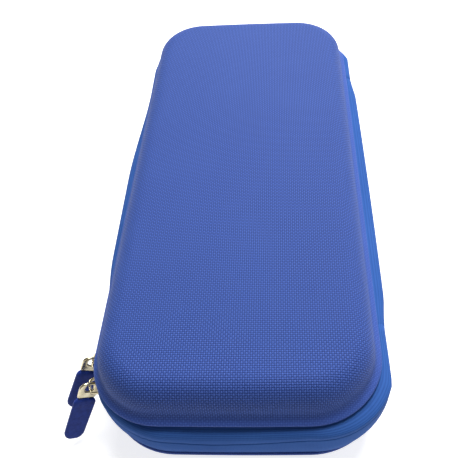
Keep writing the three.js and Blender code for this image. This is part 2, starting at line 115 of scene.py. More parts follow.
def outline(tuck):
    """Stations anticlockwise, seen from above, from the start of the rear right corner. tuck is how far
    the corner with the sliders is drawn in under the lid."""
    corners = [(CORE_X, CORE_Y, 0), (-CORE_X, CORE_Y, 90), (-CORE_X + tuck, -CORE_Y, 180),
               (CORE_X, -CORE_Y, 270)]
    stations = []
    for index, (cx, cy, start) in enumerate(corners):
        for k in range(CORNER_STEPS + 1):
            stations.append(Station(cx, cy, start + 90 * k / CORNER_STEPS))
        after_x, after_y, turn = corners[(index + 1) % 4]
        count = max(2, round(math.hypot(after_x - cx, after_y - cy) / SIDE_STEP))
        for k in range(1, count):
            t = k / count
            stations.append(Station(cx + (after_x - cx) * t, cy + (after_y - cy) * t, turn))
    return stations


LID_ROUND = outline(0)
BASE_ROUND = outline(SLIDER_CORNER_TUCK)


def ease_in(t):
    """A smooth step from 0 to 1."""
    t = min(1.0, max(0.0, t))
    return t * t * (3 - 2 * t)


def plan(station, offset):
    """The plan point at an offset outwards from the rim. The middle of a panel closes on its centre line."""
    outer = max(offset, INNER_RING)
    reach = CORNER_RADIUS + outer
    x, y = station.x + station.nx * reach, station.y + station.ny * reach
    if offset < INNER_RING:
        half = HALF_WIDTH + INNER_RING
        share = min(1.0, (INNER_RING - offset) / half)
        x, y = x * (1 - share), math.copysign(max(0.0, abs(y) - half * share), y)
    bow = END_BOW * max(0.0, 1 - (x / HALF_WIDTH) ** 2) * ease_in((abs(y) - CORE_Y) / CORNER_RADIUS)
    skew = SKEW * x / HALF_WIDTH * ease_in((y - SKEW_FROM) / SKEW_FADE)
    return x, y + math.copysign(bow, y) - skew


def slack(y):
    """From 0 to 1, how slack the band is at a place along the slider side."""
    return ease_in((y - SLACK_START) / SLACK_IN) * ease_in((SLACK_END - y) / SLACK_OUT)


def bulge(station, offset):
    """How far the cloth of the band stands out beyond its straight run."""
    nx, ny, y = station.nx, station.ny, station.y
    if nx > 0:
        along = max(0.0, 1 - (y / HALF_LENGTH) ** 2)
        out = HINGE_BULGE * (0.5 + 0.5 * along) * nx + HINGE_CORNER_BULGE * nx * max(0.0, -ny)
        room = HINGE_ROOM + (CORNER_RADIUS + TAPE_OFFSET) * (1 / max(nx, 0.2) - 1)
        out = min(out, room + HINGE_BULGE * ease_in((HINGE_BULGE_END - abs(y)) / HINGE_BULGE_FADE))
    else:
        out = SIDE_BULGE * -nx * slack(y)
        if ny < 0:
            out += SLIDER_CORNER_BULGE * ease_in((-ny - 0.05) / 0.4) * ease_in((0.95 + ny) / 0.5)
    return out * min(1.0, max(0.0, offset / TAPE_OFFSET))


def wave(x, y):
    """The zip isn't level round the near short end: it dips left of the middle and lifts on the right."""
    start = -CORE_Y + ZIP_WAVE_FADE
    if y > start:
        return 0.0
    dip = ZIP_DIP * ease_in((x + 30) / 20) * ease_in((26 - x) / 40)
    lift = ZIP_LIFT * ease_in((x - 6) / 38)
    return (dip + lift) * ease_in((start - y) / ZIP_WAVE_FADE)


def band(station, offset, z):
    """A point of the zip band, from an offset and a height."""
    x, y = plan(station, offset + bulge(station, offset))
    above = z > ZIP_Z
    share = (RIM_Z - z) / (RIM_Z - ZIP_Z) if above else (z - LIP_Z) / (ZIP_Z - LIP_Z)
    lifted = z + wave(x, y) * min(1.0, max(0.0, share))
    if above and station.nx < 0:
        lifted -= SIDE_SAG * -station.nx * slack(station.y) * 4 * share * (1 - share)
    return x, y, lifted


def arc(offset, z, radius, start, end, steps):
    """Points of an arc about an offset and a height, between two angles in degrees."""
    turns = [math.radians(start + (end - start) * k / steps) for k in range(steps + 1)]
    return [(offset + radius * math.cos(a), z + radius * math.sin(a)) for a in turns]


def smooth_line(points, steps=4):
    """A smooth curve through a few points."""
    out = []
    padded = [points[0], *points, points[-1]]
    for i in range(1, len(padded) - 2):
        p0, p1, p2, p3 = (np.array(padded[i + k], float) for k in (-1, 0, 1, 2))
        for k in range(steps):
            t = k / steps
            out.append(tuple(0.5 * (2 * p1 + (p2 - p0) * t + (2 * p0 - 5 * p1 + 4 * p2 - p3) * t**2
                                    + (3 * p1 - p0 - 3 * p2 + p3) * t**3)))
    return out + [tuple(points[-1])]


# ---- mesh helpers, with points in millimetres -----------------------------------------------------
def add_piece(name, points, faces, material, body, replaces, cloth=None):
    """A mesh piece that rides on a body, if one is named, in place of CAD nodes. cloth holds each point's
    place on the flat fabric."""
    mesh = bpy.data.meshes.new(name)
    mesh.from_pydata((np.asarray(points, float) * MM).tolist(), [], [tuple(f) for f in faces])
    if cloth is not None:
        layer = mesh.attributes.new("cloth", "FLOAT_VECTOR", "POINT")
        layer.data.foreach_set("vector", (np.asarray(cloth, np.float32) * MM).ravel())
    bm = bmesh.new()
    bm.from_mesh(mesh)
    bmesh.ops.remove_doubles(bm, verts=bm.verts, dist=2e-6)
    bmesh.ops.recalc_face_normals(bm, faces=bm.faces)
    bm.to_mesh(mesh)
    bm.free()
    mesh.polygons.foreach_set("use_smooth", [True] * len(mesh.polygons))
    mesh.materials.append(material)
    piece = bpy.data.objects.new(name, mesh)
    bpy.context.scene.collection.objects.link(piece)
    if body:
        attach(piece, body)
    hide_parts(*replaces)
    return piece


def grid_faces(rows, columns, wrap_columns=False, wrap_rows=False):
    """Quads between rows of points, closed round either way where it wraps."""
    faces = []
    for r in range(rows if wrap_rows else rows - 1):
        for c in range(columns if wrap_columns else columns - 1):
            a, b = r * columns, ((r + 1) % rows) * columns
            n = (c + 1) % columns
            faces.append((a + c, a + n, b + n, b + c))
    return faces


def end_caps(point_count, row):
    """Faces over the first and the last row of points."""
    return [tuple(range(row)), tuple(range(point_count - row, point_count))]


def sweep(section, path, closed, place=band):
    """Points, faces and cloth places of a closed section of offsets and heights carried along stations."""
    points, cloth = [], []
    girth = np.concatenate([[0], np.cumsum([math.dist(a, b) for a, b in zip(section, section[1:])])])
    run, previous = 0.0, None
    for station in path:
        here = plan(station, TAPE_OFFSET)
        run += math.dist(here, previous) if previous else 0
        previous = here
        for (offset, z), across in zip(section, girth):
            points.append(place(station, offset, z))
            cloth.append((run, across, 0))
    faces = grid_faces(len(path), len(section), True, closed)
    if not closed:
        faces += end_caps(len(points), len(section))
    return points, faces, cloth


def squared_circle(angle, power):
    """A point of a circle that is drawn out towards a square as the power falls below 1."""
    x, y = math.cos(angle), math.sin(angle)
    return math.copysign(abs(x) ** power, x), math.copysign(abs(y) ** power, y)


def tube(path, radius_a, radius_b, sides, up, power=1.0):
    """Points and faces of a rounded bar along points. radius_a is sideways, radius_b is along up."""
    path = [Vector(p) for p in path]
    points = []
    for before, p, after in zip(path[:1] + path[:-1], path, path[1:] + path[-1:]):
        ahead = (after - before).normalized()
        side = ahead.cross(Vector(up)).normalized()
        top = side.cross(ahead)
        for s in range(sides):
            a, b = squared_circle(2 * math.pi * (s + 0.5) / sides, power)
            points.append(tuple(p + side * (radius_a * a) + top * (radius_b * b)))
    return points, grid_faces(len(path), sides, True) + end_caps(len(points), sides)


CROWN_WAVE = 0.035


def swell(x, y):
    """How far the middle of a moulded panel stands above its edge, from 0 to 1, with a slight wave."""
    dome = max(0.0, 1 - (x / HALF_WIDTH) ** 2) * max(0.0, 1 - abs(y / HALF_LENGTH) ** 2.6)
    return dome * (1 + CROWN_WAVE * math.sin(x * 0.061 + 1.3) * math.cos(y * 0.037 + 0.4))


def loft(profile, crown_rise, stations):
    """Rings of the outline over a profile. A level is an offset, a height and its share of the crown."""
    points, cloth = [], []
    unrolled, previous = 0.0, None
    for offset, z, rise in profile:
        if previous is None or offset <= INNER_RING:
            unrolled = CORNER_RADIUS + offset
        else:
            unrolled += math.dist(previous, (offset, z))
        previous = (offset, z)
        for s in stations:
            x, y = plan(s, offset)
            points.append((x, y, z + rise * crown_rise * swell(x, y)))
            flat = (x, y) if offset <= INNER_RING else (s.x + s.nx * unrolled, s.y + s.ny * unrolled)
            cloth.append((*flat, 0))
    return points, grid_faces(len(profile), len(stations), True), cloth


def levels(start, end, z, rise, steps):
    """Level rings between two offsets, the last one left out."""
    return [(start + (end - start) * k / steps, z, rise) for k in range(steps)]


# ---- materials ------------------------------------------------------------------------------------
class Shader:
    """A Principled material and short ways to add its nodes."""

    def __init__(self, name, roughness, **sockets):
        self.material = bpy.data.materials.new(name)
        self.material.use_nodes = True
        self.tree = self.material.node_tree
        self.surface = next(n for n in self.tree.nodes if n.type == "BSDF_PRINCIPLED")
        self.surface.inputs["Roughness"].default_value = roughness
        for socket, value in sockets.items():
            self.surface.inputs[socket.replace("_", " ")].default_value = value

    def node(self, kind, **settings):
        """A new node of a kind, with its settings."""
        made = self.tree.nodes.new(kind)
        for key, value in settings.items():
            setattr(made, key, value)
        return made

    def link(self, value, socket):
        """Feed a socket from another node's output, or set it to a plain value."""
        if isinstance(value, bpy.types.NodeSocket):
            self.tree.links.new(value, socket)
        else:
            socket.default_value = value

    def math(self, operation, *values):
        made = self.node("ShaderNodeMath", operation=operation)
        for value, socket in zip(values, made.inputs):
            self.link(value, socket)
        return made.outputs[0]

    def cloth(self):
        """A point's place on the flat fabric, as two outputs, in metres."""
        split = self.node("ShaderNodeSeparateXYZ")
        attribute = self.node("ShaderNodeAttribute", attribute_name="cloth")
        self.tree.links.new(attribute.outputs["Vector"], split.inputs[0])
        return split.outputs[0], split.outputs[1]

    def place(self):
        """Where a point is in its piece's own axes, in metres."""
        return self.node("ShaderNodeTexCoord").outputs["Object"]

    def height(self):
        split = self.node("ShaderNodeSeparateXYZ")
        self.tree.links.new(self.place(), split.inputs[0])
        return split.outputs[2]

    def noise(self, scale, detail, roughness=0.5):
        made = self.node("ShaderNodeTexNoise")
        made.inputs["Scale"].default_value = scale
        made.inputs["Detail"].default_value = detail
        made.inputs["Roughness"].default_value = roughness
        self.tree.links.new(self.place(), made.inputs["Vector"])
        return made.outputs[0]

    def ramp(self, value, low, high, start=0.0, end=1.0):
        """From start to end, as the value goes from low to high."""
        made = self.node("ShaderNodeMapRange", clamp=True)
        for socket, number in zip(made.inputs, (value, low, high, start, end)):
            self.link(number, socket)
        return made.outputs[0]

    def mix(self, factor, a, b):
        """Colour a where the factor is 0, and b where it is 1."""
        made = self.node("ShaderNodeMix", data_type="RGBA")
        self.link(factor, made.inputs[0])
        for value, socket in ((a, made.inputs[6]), (b, made.inputs[7])):
            self.link((*value, 1) if isinstance(value, tuple) else value, socket)
        return made.outputs[2]

    def colour(self, value):
        self.link(value, self.surface.inputs["Base Color"])

    def bump(self, height, distance, strength):
        made = self.node("ShaderNodeBump")
        made.inputs["Strength"].default_value = strength
        made.inputs["Distance"].default_value = distance
        self.link(height, made.inputs["Height"])
        self.tree.links.new(made.outputs[0], self.surface.inputs["Normal"])


def linear(red, green, blue):
    """Scene-linear colour from the usual 0 to 255 steps."""
    steps = (red, green, blue)
    return tuple(((c / 255 + 0.055) / 1.055) ** 2.4 if c > 10 else c / 255 / 12.92 for c in steps)


WEAVE = 1.95 * MM
# The warp blue, lighter than the weft blue, is a painted highlight on the warp-up cells.
WEFT, WARP_PAINTED_HIGHLIGHT, WORN = linear(42, 68, 137), linear(59, 88, 162), linear(55, 84, 157)
# The lip blue is a painted highlight for the lips of the shells.
VALLEY_PAINTED_SHADE, LIP_PAINTED_HIGHLIGHT = linear(24, 41, 96), linear(60, 86, 164)


def ballistic_weave():
    """A basket weave of thick yarns, flattened where it is moulded over the lips of the shells. Its colour holds
    painted light: painted shade in the hollows between the yarns, a painted highlight on the warp-up cells and a
    lighter painted highlight over the lips.
    """
    s = Shader("ballistic_weave", 0.66, Sheen_Weight=0.1, Sheen_Roughness=0.45, Specular_IOR_Level=0.2)
    s.surface.inputs["Sheen Tint"].default_value = (*linear(110, 150, 240), 1)
    u, v = (s.math("MULTIPLY", c, 2 * math.pi / WEAVE) for c in s.cloth())
    su, sv = s.math("SINE", u), s.math("SINE", v)
    checker = s.math("MULTIPLY", su, sv)
    warp_up = s.ramp(checker, -0.25, 0.25)
    # The rounded backs of the yarns, with the finer strands that each is laid up from.
    warp = s.math("MULTIPLY", s.math("ABSOLUTE", su), s.math("ADD", s.math("ABSOLUTE", sv), 0.35))
    weft = s.math("MULTIPLY", s.math("ABSOLUTE", sv), s.math("ADD", s.math("ABSOLUTE", su), 0.35))
    yarn_u = s.math("COSINE", s.math("MULTIPLY", u, 4.0))
    yarn_v = s.math("COSINE", s.math("MULTIPLY", v, 4.0))
    warp = s.math("ADD", warp, s.math("MULTIPLY", yarn_u, 0.12))
    weft = s.math("ADD", weft, s.math("MULTIPLY", yarn_v, 0.12))
    over = s.math("MULTIPLY", warp, warp_up)
    under = s.math("MULTIPLY", weft, s.math("SUBTRACT", 1.0, warp_up))
    height = s.math("ADD", over, under)
    # The cloth is flattened where it goes over the lid's lip and the base's, and painted a lighter blue there: a
    # painted highlight.
    above = s.math("SUBTRACT", s.height(), RIM_Z * MM)
    lip = s.math("MULTIPLY", s.ramp(above, -1.5 * MM, 0.0), s.ramp(above, 4.5 * MM, 2.0 * MM))
    base_lip = s.ramp(s.height(), (LIP_Z - 5.0) * MM, (LIP_Z - 3.0) * MM)
    base_lip = s.math("MULTIPLY", base_lip, s.ramp(s.height(), (LIP_Z + 6) * MM, (LIP_Z + 4) * MM))
    pressed_and_painted_highlight = s.math("MAXIMUM", lip, base_lip)
    # Painted shade: where the yarns are low, between them, the colour goes to the dark valley blue.
    gap = s.math("MAXIMUM", s.ramp(height, 0.15, 0.8), s.math("MULTIPLY", pressed_and_painted_highlight, 0.3))
    height = s.math("MULTIPLY", height, s.math("SUBTRACT", 1.0, s.math("MULTIPLY", pressed_and_painted_highlight, 0.5)))
    # Painted highlight: the warp-up cells take the lighter warp blue.
    thread = s.mix(warp_up, WEFT, WARP_PAINTED_HIGHLIGHT)
    worn = s.mix(s.ramp(s.noise(26, 4), 0.35, 0.7), thread, s.mix(0.5, thread, WORN))
    woven = s.mix(gap, VALLEY_PAINTED_SHADE, worn)
    # Painted highlight: the flattened lips are mixed towards the lighter lip blue.
    s.colour(s.mix(s.math("MULTIPLY", pressed_and_painted_highlight, 0.45), woven, LIP_PAINTED_HIGHLIGHT))
    s.bump(height, 0.2 * MM, 0.7)
    return s.material


def tape_cloth():
    """Fine, smooth zip tape with a faint rib along its length."""
    s = Shader("tape_cloth", 0.75, Specular_IOR_Level=0.06)
    along, across = s.cloth()
    rib = s.math("SINE", s.math("MULTIPLY", across, 2 * math.pi / (0.9 * MM)))
    pick = s.math("SINE", s.math("MULTIPLY", along, 2 * math.pi / (0.55 * MM)))
    height = s.math("ADD", s.math("MULTIPLY", rib, 0.6), s.math("MULTIPLY", pick, 0.4))
    tone = s.mix(s.ramp(s.noise(40, 3), 0.3, 0.7), linear(45, 82, 147), linear(52, 91, 158))
    # Painted shade: the troughs between the ribs are painted a darker blue.
    s.colour(s.mix(s.ramp(height, -1.0, 0.4), linear(38, 70, 130), tone))
    s.bump(height, 0.06 * MM, 0.5)
    return s.material


def plain_noise(name, dark, light, scale, roughness, bump_mm, **sockets):
    """A plain stuff whose grain goes between two tones."""
    s = Shader(name, roughness, **sockets)
    grain = s.noise(scale, 4, 0.6)
    s.colour(s.mix(s.ramp(grain, 0.35, 0.65), linear(*dark), linear(*light)))
    s.bump(grain, bump_mm * MM, 0.6)
    return s.material


def webbing_cloth(name, dark, light):
    """Woven tape, ribbed across its length."""
    s = Shader(name, 0.75, Sheen_Weight=0.2)
    along, across = s.cloth()
    rib = s.math("ABSOLUTE", s.math("SINE", s.math("MULTIPLY", along, math.pi / (1.1 * MM))))
    cord = s.math("ABSOLUTE", s.math("SINE", s.math("MULTIPLY", across, math.pi / (0.8 * MM))))
    height = s.math("MULTIPLY", rib, s.math("ADD", cord, 0.5))
    # Painted shade: the hollows between the ribs are painted in the dark tone.
    s.colour(s.mix(s.ramp(height, 0.1, 1.0), linear(*dark), linear(*light)))
    s.bump(height, 0.2 * MM, 0.8)
    return s.material


def net_cloth():
    """A knitted net: dark cords round small open cells."""
    s = Shader("pocket_net", 0.85)
    x, y = (s.math("MULTIPLY", c, math.pi / (2.4 * MM)) for c in s.cloth())
    one = s.math("ABSOLUTE", s.math("SINE", s.math("ADD", x, y)))
    other = s.math("ABSOLUTE", s.math("SINE", s.math("SUBTRACT", x, y)))
    cord = s.ramp(s.math("MINIMUM", one, other), 0.42, 0.3)
    grain = s.noise(2500, 3)
    s.colour(s.mix(s.ramp(grain, 0.35, 0.65), linear(20, 21, 25), linear(44, 46, 54)))
    s.link(cord, s.surface.inputs["Alpha"])
    s.bump(cord, 0.2 * MM, 0.6)
    return s.material


def nickel():
    """Warm, slightly worn nickel plate."""
    s = Shader("nickel", 0.22, Metallic=1.0)
    grain = s.noise(900, 2)
    s.colour(s.mix(s.ramp(s.noise(300, 3), 0.3, 0.7), linear(168, 156, 126), linear(208, 199, 172)))
    s.link(s.ramp(grain, 0.3, 0.7, 0.16, 0.3), s.surface.inputs["Roughness"])
    s.bump(grain, 0.02 * MM, 0.3)
    return s.material


WEAVE_CLOTH = ballistic_weave()
TAPE_CLOTH = tape_cloth()
NET = net_cloth()
NICKEL = nickel()
RUBBER = plain_noise("pull_rubber", (22, 42, 108), (30, 52, 132), 500, 0.6, 0.05,
                     Specular_IOR_Level=0.15)
LINING = plain_noise("lining_velour", (24, 25, 31), (38, 40, 48), 1500, 0.95, 0.15, Sheen_Weight=0.6)
FOAM = plain_noise("cradle_foam", (22, 23, 26), (46, 48, 54), 1800, 0.97, 0.3)
COIL = plain_noise("zip_coil", (16, 24, 60), (24, 34, 78), 700, 0.45, 0.03)
BINDING = webbing_cloth("binding_tape", (18, 19, 24), (40, 42, 50))
STRAP = webbing_cloth("strap_webbing", (14, 15, 18), (36, 38, 44))


# ---- shells and linings ---------------------------------------------------------------------------
CENTRE = -HALF_WIDTH
LID_EDGE = 17.0
LID_RADIUS = 10.8
LID_WALL = -3.0
CROWN_RISE = CROWN_Z - RIM_Z - LID_EDGE
WALL = 4.0
# An arc's offset, height and radius.
LID_INNER = (-14.8, RIM_Z + 4.0, 9.0)
BASE_ARC = (-10.3, 9.0, 9.0)
LINING_GAP, LINING_THICK = 0.3, 0.6


def lid_shell():
    """The domed lid, its rolled lip and the hollow under it, as one skin."""
    z0 = RIM_Z
    centre = (LID_WALL - LID_RADIUS, z0 + LID_EDGE - LID_RADIUS)
    top = levels(CENTRE, centre[0], z0 + LID_EDGE, 1, 16)
    edge = [(o, z, 1) for o, z in arc(*centre, LID_RADIUS, 90, 0, 16)]
    lip = smooth_line([(LID_WALL, centre[1]), (-2.8, z0 + 4.4), (-2.1, z0 + 3.0), (-1.1, z0 + 2.1),
                       (-0.1, z0 + 1.5), (0.4, z0 + 0.9), (0.4, z0 + 0.3), (-0.1, z0 - 0.1), (-1.2, z0)])
    inner = arc(*LID_INNER, 0, 90, 8)
    profile = top + edge + [(o, z, 0) for o, z in lip[1:]] + [(-5.8, z0, 0)]
    profile += [(o, z, k / 8) for k, (o, z) in enumerate(inner)]
    ceiling = LID_INNER[1] + LID_INNER[2]
    profile += levels(LID_INNER[0] - 1, CENTRE, ceiling, 1, 8) + [(CENTRE, ceiling, 1)]
    points, faces, cloth = loft(profile, CROWN_RISE, LID_ROUND)
    add_piece("lid_shell_cloth", points, faces, WEAVE_CLOTH, "lid", ["lid_shell"], cloth)


def base_shell():
    """The tray, its lip and its inside, as one skin."""
    offset, centre_z, radius = BASE_ARC
    wall = offset + radius
    lip = smooth_line([(wall, centre_z), (-1.1, LIP_Z - 4.7), (-0.3, LIP_Z - 3.4), (1.0, LIP_Z - 2.7),
                       (2.0, LIP_Z - 2.0), (2.3, LIP_Z - 1.2), (2.0, LIP_Z - 0.3), (1.0, LIP_Z)])
    profile = levels(CENTRE, offset, 0, 0, 10)
    profile += [(o, z, 0) for o, z in arc(offset, centre_z, radius, -90, 0, 12) + lip[1:]]
    profile += [(-5.0, LIP_Z, 0)]
    profile += [(o, z, 0) for o, z in arc(offset, centre_z, radius - WALL, 0, -90, 8)]
    profile += levels(offset - 1, CENTRE, WALL, 0, 6) + [(CENTRE, WALL, 0)]
    points, faces, cloth = loft(profile, 0, BASE_ROUND)
    add_piece("base_shell_cloth", points, faces, WEAVE_CLOTH, "base", ["base_shell"], cloth)


def linings():
    """Velour inside each shell, folded over at its edge. sign is 1 in the lid and -1 in the base."""
    offset, z, radius = LID_INNER
    lid_arc = (offset, z, radius - LINING_GAP)
    offset, z, radius = BASE_ARC
    base_arc = (offset, z, radius - WALL - LINING_GAP)
    for body, out, sign, stations, rise, edge, edge_z in (
        ("lid", lid_arc, 1, LID_ROUND, CROWN_RISE, -6.1, RIM_Z),
        ("base", base_arc, -1, BASE_ROUND, 0, -5.3, LIP_Z),
    ):
        thin = (out[0], out[1], out[2] - LINING_THICK)
        flat, under = out[1] + sign * out[2], thin[1] + sign * thin[2]
        profile = levels(CENTRE, out[0], flat, 1, 8)
        profile += [(o, h, 1 - k / 8) for k, (o, h) in enumerate(arc(*out, sign * 90, 0, 8))]
        profile += [(edge, edge_z, 0), (edge - 0.3, edge_z + sign * 0.1, 0), (edge - 0.6, edge_z, 0)]
        profile += [(o, h, k / 8) for k, (o, h) in enumerate(arc(*thin, 0, sign * 90, 8))]
        profile += levels(out[0] - 1, CENTRE, under, 1, 8) + [(CENTRE, under, 1)]
        points, faces, cloth = loft(profile, rise, stations)
        add_piece(f"{body}_lining_velour", points, faces, LINING, body, [f"{body}_lining"], cloth)


# ---- zip band -------------------------------------------------------------------------------------
TAPE = 1.0
SEAM_GAP = 0.2
ROLLED_EDGE = 0.15


def right_side(y):
    """A station on the hinge side."""
    return Station(CORE_X, y, 0)


def zip_path():
    """From the rear end of the hinge, round the far end, the slider side and the near end."""
    steps = 4
    rear = [right_side(HINGE_END + (CORE_Y - HINGE_END) * k / steps) for k in range(steps)]
    front = [right_side(-s.y) for s in reversed(rear)]
    return rear + [s for s in BASE_ROUND if not (s.nx > 0.999 and abs(s.y) < CORE_Y - 1)] + front


def thick(face):
    """A closed section of cloth from its outer face, with a rolled edge at its last point."""
    side = 1 if face[0][1] > face[-1][1] else -1
    inner = []
    for k, (offset, z) in enumerate(face):
        before, after = face[max(0, k - 1)], face[min(len(face) - 1, k + 1)]
        d, h = after[0] - before[0], after[1] - before[1]
        size = math.hypot(d, h)
        inner.append((offset + side * h / size * TAPE, z - side * d / size * TAPE))
    end, back = face[-1], inner[-1]
    bend = ROLLED_EDGE * side
    edge = [(end[0], end[1] + bend), (end[0] - ROLLED_EDGE, end[1]), (back[0] + ROLLED_EDGE, back[1]),
            (back[0], back[1] + bend)]
    return face[:-1] + edge + inner[-2::-1]


def upper_face(end_z):
    """The outer face of the band, from under the lid's rim down to a height."""
    z, o = RIM_Z, TAPE_OFFSET
    return smooth_line([(-2.4, z - 0.2), (-1.4, z - 1.5), (0.5, z - 2.3), (2.2, z - 3.1), (o - 0.2, z - 4.6),
                        (o + 0.1, z - 6.3), (o, end_z)])


def lower_face(end_z):
    """The outer face of the band, from the base's lip up to a height."""
    z, o = LIP_Z, TAPE_OFFSET
    return smooth_line([(0.5, z + 0.1), (1.8, z + 1.0), (o - 0.8, z + 4.2), (o - 0.1, z + 8.5), (o, end_z)])


def zip_tapes():
    """The two tapes, which meet a hair apart over the coils."""
    for name, face, node, body in (
        ("zip_tape_upper_cloth", upper_face(ZIP_Z + SEAM_GAP), "zip_tape_upper", "lid"),
        ("zip_tape_lower_cloth", lower_face(ZIP_Z - SEAM_GAP), "zip_tape_lower", "base"),
    ):
        points, faces, cloth = sweep(thick(face), zip_path(), False)
        add_piece(name, points, faces, TAPE_CLOTH, body, [node], cloth)


def dipping(station, offset, z):
    """The hinge strip lies just over the tapes' ends, and its own ends pass under them."""
    return band(station, offset + 0.12 - 0.9 * ease_in((abs(station.y) - HINGE_END + 0.5) / 2.5), z)


def hinge_strip():
    """One strip of cloth down the hinge side, from the lid's rim to the base's."""
    face = upper_face(ZIP_Z + 1.2) + lower_face(ZIP_Z - 1.2)[::-1]
    near_end = [-(HINGE_END + 2) + 0.5 * k for k in range(6)]
    middle = list(np.linspace(-HINGE_END + 1, HINGE_END - 1, 45))
    path = [right_side(y) for y in near_end + middle + [-y for y in near_end[::-1]]]
    points, faces, cloth = sweep(thick(face), path, False, dipping)
    nodes = ["hinge_strip_lower", "hinge_strip_upper"]
    piece = add_piece("hinge_cloth", points, faces, TAPE_CLOTH, None, nodes, cloth)
    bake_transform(piece)


COIL_PITCH = 1.3
COIL_OFFSET = 1.3
COIL_SPREAD = 1.55
COIL_DEPTH, COIL_HEIGHT = 0.45, 0.62
FILAMENT = 0.3
TURN_STEPS = 8


def coil(name, middle_z, node, body):
    """A round nylon filament wound along the tape's inner side."""
    spine = [Vector(band(s, COIL_OFFSET, middle_z)) for s in zip_path()]
    lengths = np.concatenate([[0], np.cumsum([(b - a).length for a, b in zip(spine, spine[1:])])])
    count = int(lengths[-1] / COIL_PITCH)
    where = np.arange(count * TURN_STEPS + 1) * COIL_PITCH / TURN_STEPS
    centre = np.stack([np.interp(where, lengths, [p[i] for p in spine]) for i in range(3)], 1)
    ahead = np.gradient(centre, axis=0)
    out = np.stack([ahead[:, 1], -ahead[:, 0]], 1)
    out /= np.linalg.norm(out, axis=1)[:, None]
    turn = 2 * np.pi * np.arange(len(where)) / TURN_STEPS
    line = centre.copy()
    line[:, :2] += out * (COIL_DEPTH * np.cos(turn))[:, None]
    line[:, 2] += COIL_HEIGHT * np.sin(turn)
    points, faces = tube(line.tolist(), FILAMENT, FILAMENT, 5, (0.01, 0.02, 1))
    add_piece(name, points, faces, COIL, body, [node])


def coils():
    """One coil inside each tape, above and below the zip's middle."""
    coil("zip_coil_upper_wound", ZIP_Z + COIL_SPREAD, "zip_coil_upper", "lid")
    coil("zip_coil_lower_wound", ZIP_Z - COIL_SPREAD, "zip_coil_lower", "base")


def bindings():
    """Tape folded over the raw inner edges of the base and the lid."""
    z = LIP_Z
    base = smooth_line([(0.3, z + 0.2), (1.1, z + 3.7), (1.4, z + 6.1), (1.0, z + 6.5), (0.6, z + 6.1),
                        (0.2, z + 4.0), (-0.9, z + 1.5), (-4.3, z + 1.4), (-4.7, z + 0.9),
                        (-4.4, z + 0.3)], 2)
    z = RIM_Z
    lid = smooth_line([(-2.9, z - 0.4), (-5.0, z - 0.4), (-5.3, z - 0.9), (-5.0, z - 1.4), (-2.3, z - 1.6),
                       (-0.4, z - 3.7), (0.3, z - 4.6), (0.8, z - 4.9), (1.2, z - 4.3), (0.6, z - 3.0),
                       (-1.9, z - 1.2)], 2)
    for name, section, node, body in (("base_binding_tape", base, "base_edge_binding", "base"),
                                      ("lid_binding_tape", lid, "lid_edge_binding", "lid")):
        points, faces, cloth = sweep(section, BASE_ROUND, True)
        add_piece(name, points, faces, BINDING, body, [node], cloth)


# ---- foam -----------------------------------------------------------------------------------------
def cut_foam(name, node, bevel):
    """The die-cut foam of a node, with the soft edges that a knife leaves."""
    source = frame["nodes"][node].data
    bm = bmesh.new()
    bm.from_mesh(source)
    bmesh.ops.remove_doubles(bm, verts=bm.verts, dist=1e-6)
    bmesh.ops.dissolve_limit(bm, angle_limit=math.radians(2), verts=bm.verts, edges=bm.edges)
    sharp = [e for e in bm.edges if len(e.link_faces) == 2 and e.calc_face_angle() > math.radians(35)]
    bmesh.ops.bevel(bm, geom=sharp, offset=bevel * MM, segments=3, profile=0.6, affect="EDGES")
    bmesh.ops.triangulate(bm, faces=[f for f in bm.faces if len(f.verts) > 4])
    mesh = bpy.data.meshes.new(name)
    bm.to_mesh(mesh)
    bm.free()
    points = [v.co / MM for v in mesh.vertices]
    faces = [tuple(p.vertices) for p in mesh.polygons]
    bpy.data.meshes.remove(mesh)
    return add_piece(name, points, faces, FOAM, body_of(node), [node])


def body_of(node):
    """The body that a node is on."""
    bodies = frame["record"]["behaviour"]["bodies"]
    return next(body for body, members in bodies.items() if node in members)


FLOOR_LOW, FLOOR_TOP = 5.2, 8.0
PAD_LOW = 48.0


def pads():
    """The cradle, the floor pad under it and the lid's padding."""
    cradle = cut_foam("foam_cradle_cut", "foam_cradle", 0.9)
    profile = levels(CENTRE, -12, FLOOR_LOW, 0, 6)
    profile += [(-10.6, FLOOR_LOW, 0), (-9.6, 5.6, 0), (-8.4, 6.5, 0), (-7.9, 7.4, 0), (-8.6, FLOOR_TOP, 0)]
    profile += levels(-10, CENTRE, FLOOR_TOP, 0, 6) + [(CENTRE, FLOOR_TOP, 0)]
    points, faces, cloth = loft(profile, 0, BASE_ROUND)
    floor_pad = add_piece("cradle_floor_foam", points, faces, FOAM, "base", ["cradle_floor_pad"],
                          cloth)
    low = PAD_LOW
    seam = smooth_line([(-26, low), (-22, low + 0.5), (-20.5, low + 1.3), (-19, low + 0.5), (-15, low - 0.1),
                        (-11.5, low + 0.5), (-9.9, low + 1.3), (-9.8, low + 2.0), (-10.6, low + 2.7),
                        (-13, low + 3.0), (-22, low + 3.4)], 3)
    profile = levels(CENTRE, -26, low, 0, 8) + [(o, z, 0) for o, z in seam]
    profile += [(-30, low + 4.0, 0), (CENTRE, low + 4.4, 0)]
    points, faces, cloth = loft(profile, 0, LID_ROUND)
    lid_pad = add_piece("lid_pad_velour", points, faces, LINING, "lid", ["lid_foam_pad"], cloth)


# ---- straps and mesh pocket -----------------------------------------------------------------------
STRAP_HALF_THICK = 0.6
STRAP_ARCH = 3.0
STRAP_EDGE = [(-1, -0.5), (-0.97, -0.9), (-0.5, -1), (0, -1), (0.5, -1), (0.97, -0.9), (1, -0.5)]


